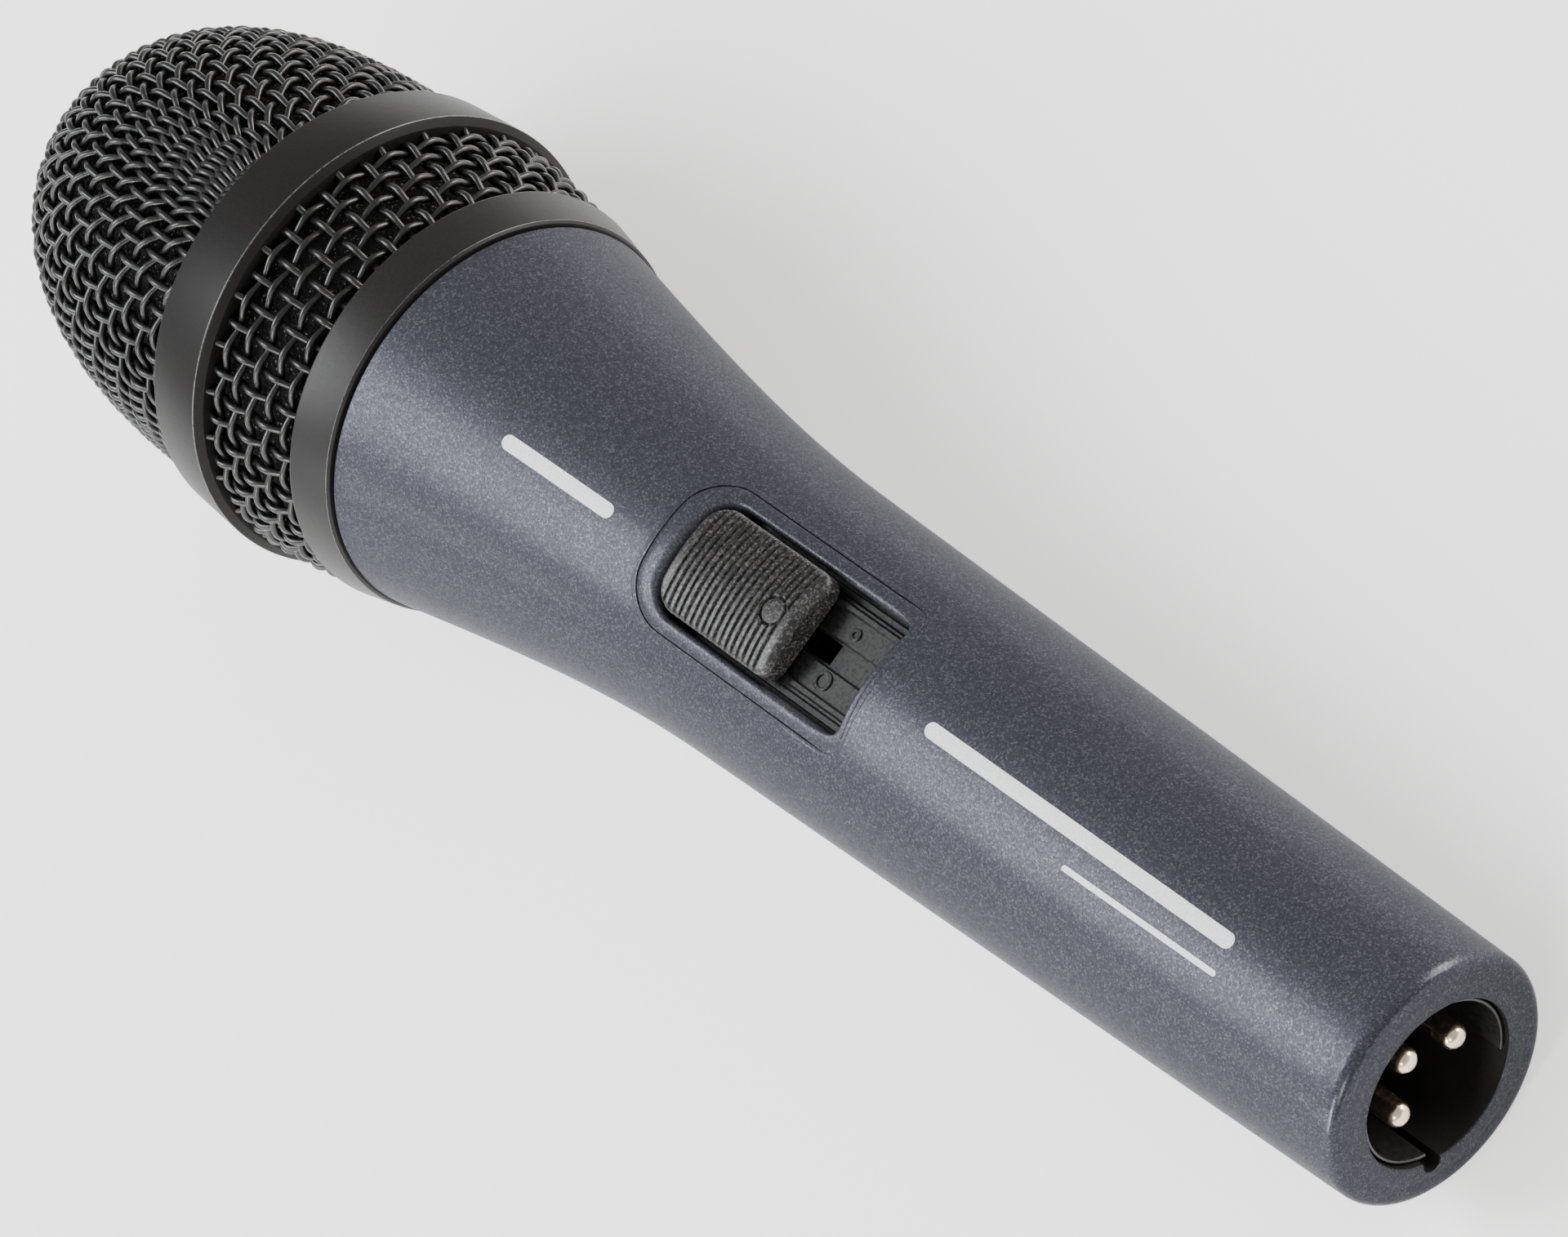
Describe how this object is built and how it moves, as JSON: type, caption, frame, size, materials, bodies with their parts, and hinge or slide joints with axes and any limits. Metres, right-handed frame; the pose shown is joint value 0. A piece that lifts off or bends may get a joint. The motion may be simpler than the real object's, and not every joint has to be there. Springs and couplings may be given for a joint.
{
  "type": "handheld dynamic microphone",
  "caption": "Handheld dynamic vocal microphone with a tapered metal handle, a two-part wire basket, a thumb slide switch and a three-pin tail connector.",
  "frame": {"origin": "centre of the connector insert's face, where the plug of the lead seats, 16.2 mm inside the tail rim", "axes": "+X along the microphone from the tail to the basket, +Z out through the slide switch, +Y across the switch"},
  "size_m": [0.1952, 0.0482, 0.0482],
  "materials": {
    "handle_paint": "blue-grey metallic flake paint on die-cast metal, satin",
    "black_paint": "satin black paint with a slight orange peel",
    "wire_paint": "black painted woven steel wire",
    "foam": "open-cell black acoustic foam",
    "slider_plastic": "fine-grained black plastic",
    "track_plastic": "semi-matt black plastic",
    "black_plastic": "moulded black plastic",
    "rubber": "soft black rubber",
    "steel": "plain steel",
    "magnet": "sintered magnet, nickel plated",
    "copper": "enamelled copper wire",
    "film": "clear amber polyester film",
    "felt": "thin acoustic felt",
    "board": "green circuit board",
    "pin_plating": "polished plated contact",
    "lead_red": "red insulation",
    "lead_blue": "blue insulation",
    "lead_black": "black insulation"
  },
  "bodies": {
    "handle": {"handle_body": "handle_paint", "track_plate": "track_plastic", "switch_can": "steel", "switch_board": "board", "board_screw_rear": "steel", "board_screw_front": "steel", "connector_insert": "black_plastic", "pin_1": "pin_plating", "pin_2": "pin_plating", "pin_3": "pin_plating", "ground_spring": "steel", "set_screw": "steel", "capsule_housing": "black_plastic", "capsule_grille": "black_plastic", "dust_screen": "felt", "diaphragm_ring": "black_plastic", "hum_coil": "copper", "magnet": "magnet", "magnet_pot": "steel", "pole_piece": "steel", "top_plate": "steel", "shock_mount_front": "rubber", "shock_mount_rear": "rubber", "terminal_board": "board", "capsule_terminal_1": "pin_plating", "capsule_terminal_2": "pin_plating", "capsule_lead_1": "lead_red", "capsule_lead_2": "lead_blue", "connector_lead_1": "lead_black", "connector_lead_2": "lead_red", "connector_lead_3": "lead_blue"},
    "slider": {"thumb_slider": "slider_plastic", "slider_fork": "black_plastic"},
    "actuator": {"switch_actuator": "black_plastic"},
    "coil_unit": {"diaphragm": "film", "voice_coil": "copper"},
    "basket": {"basket_collar": "black_paint", "basket_band_mesh": "wire_paint", "basket_mid_ring": "black_paint", "basket_dome_mesh": "wire_paint", "basket_foam": "foam"}
  },
  "joints": [
    {"name": "slide_switch", "type": "slide", "parent": "handle", "child": "slider", "axis": [-1, 0, 0], "range_m": [0, 0.0085]},
    {"name": "switch_contact", "type": "slide", "parent": "handle", "child": "actuator", "axis": [-1, 0, 0], "range_m": [0, 0.0085]},
    {"name": "coil_stroke", "type": "slide", "parent": "handle", "child": "coil_unit", "axis": [1, 0, 0], "range_m": [-0.0002, 0.0002], "stiffness_N_per_m": 60},
    {"name": "basket_release", "type": "slide", "parent": "handle", "child": "basket", "axis": [1, 0, 0], "range_m": [0, 0.03]}
  ],
  "couplings": [
    {"joint": "switch_contact", "follows": "slide_switch", "ratio": 1}
  ]
}
